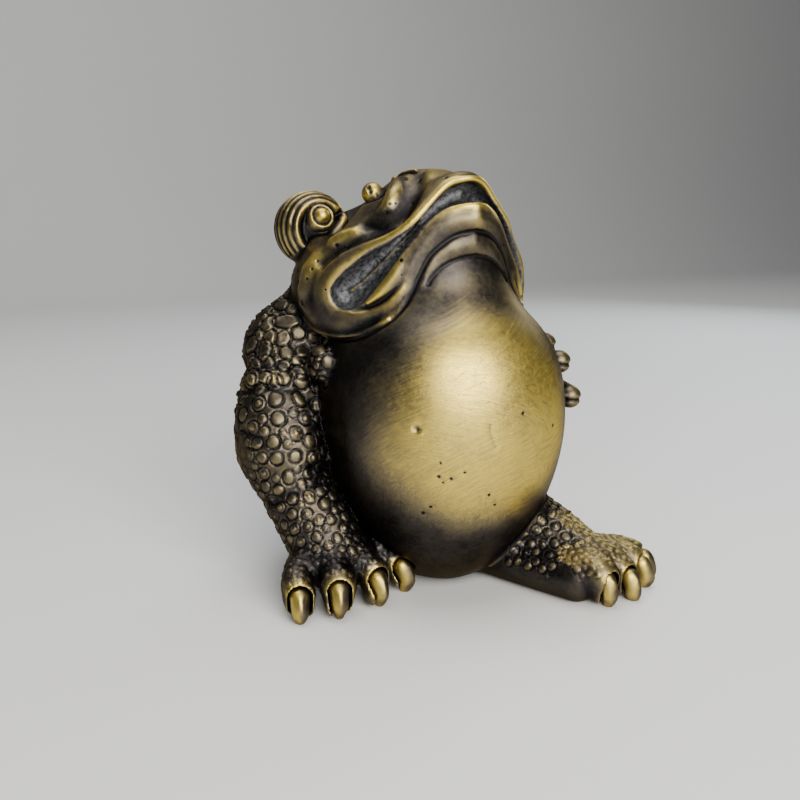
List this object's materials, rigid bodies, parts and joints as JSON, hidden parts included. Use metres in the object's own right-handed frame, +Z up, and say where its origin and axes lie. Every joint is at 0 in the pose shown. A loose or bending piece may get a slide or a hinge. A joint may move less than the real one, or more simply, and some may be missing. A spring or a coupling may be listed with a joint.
{
  "type": "money toad figure",
  "caption": "Cast brass three-legged toad that sits upright with its head thrown back, one hand on the floor, one on its flank and its single hind leg stretched forward.",
  "frame": {"origin": "on the flat underside, on the surface that it sits on, under the axis of the belly", "axes": "+Z up, -Y the way the belly faces, +X towards the toad's own left, the side of the hind leg"},
  "size_m": [0.0906, 0.0855, 0.1006],
  "materials": {
    "brass": "aged cast brass, brushed and rubbed bright on the belly, lips, claws and tops of the warts, with a dark brown patina in the recesses"
  },
  "bodies": {
    "root": {"toad": "brass"}
  },
  "joints": []
}
